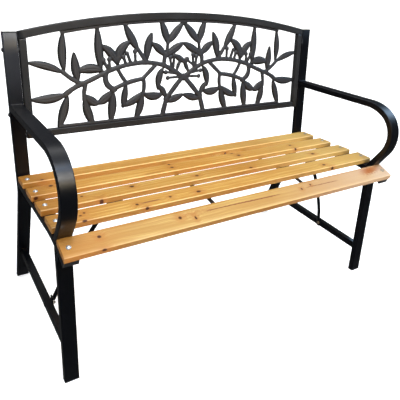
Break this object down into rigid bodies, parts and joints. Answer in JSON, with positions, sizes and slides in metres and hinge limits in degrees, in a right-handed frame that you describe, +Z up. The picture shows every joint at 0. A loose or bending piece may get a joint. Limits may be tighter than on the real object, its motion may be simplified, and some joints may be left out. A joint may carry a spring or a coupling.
{
  "type": "garden bench",
  "caption": "Two-seat garden bench with bent steel tube side frames, curled armrests, wooden seat slats and an arched back panel of cast leaves and vines.",
  "frame": {"origin": "on the floor, midway between the two ends and between the front-most and rear-most points", "axes": "+X along the bench towards the right-hand end as seen from in front, +Y from the seat front to the back, +Z up"},
  "size_m": [1.1294, 0.6272, 0.8964],
  "materials": {
    "frame_coat": "satin near-black powder coat on steel tube",
    "casting": "dark painted casting with softly raised leaves",
    "slat_wood": "honey-coloured hardwood with an oiled satin surface",
    "bright_fixings": "zinc-plated domed bolts, nuts and screws",
    "dark_fixings": "blackened domed bolts",
    "cap_plastic": "matt black moulded plastic"
  },
  "bodies": {
    "root": {"left_rear_post": "frame_coat", "right_rear_post": "frame_coat", "left_front_leg": "frame_coat", "right_front_leg": "frame_coat", "left_seat_rail": "frame_coat", "right_seat_rail": "frame_coat", "left_armrest": "frame_coat", "right_armrest": "frame_coat", "left_stretcher": "frame_coat", "right_stretcher": "frame_coat", "left_brace": "frame_coat", "right_brace": "frame_coat", "back_top_rail": "frame_coat", "back_bottom_rail": "frame_coat", "left_back_bar": "frame_coat", "right_back_bar": "frame_coat", "cast_panel": "casting", "slat_1": "slat_wood", "slat_2": "slat_wood", "slat_3": "slat_wood", "slat_4": "slat_wood", "slat_5": "slat_wood", "left_slat_tie": "frame_coat", "right_slat_tie": "frame_coat", "slat_bolts": "bright_fixings", "slat_nuts": "bright_fixings", "tie_screws": "bright_fixings", "brace_bolts": "dark_fixings", "brace_nuts": "bright_fixings", "brace_screws": "bright_fixings", "back_bolts": "dark_fixings", "back_spacers": "cap_plastic", "front_feet": "cap_plastic", "rear_feet": "cap_plastic", "post_caps": "cap_plastic", "rail_caps": "cap_plastic"}
  },
  "joints": []
}
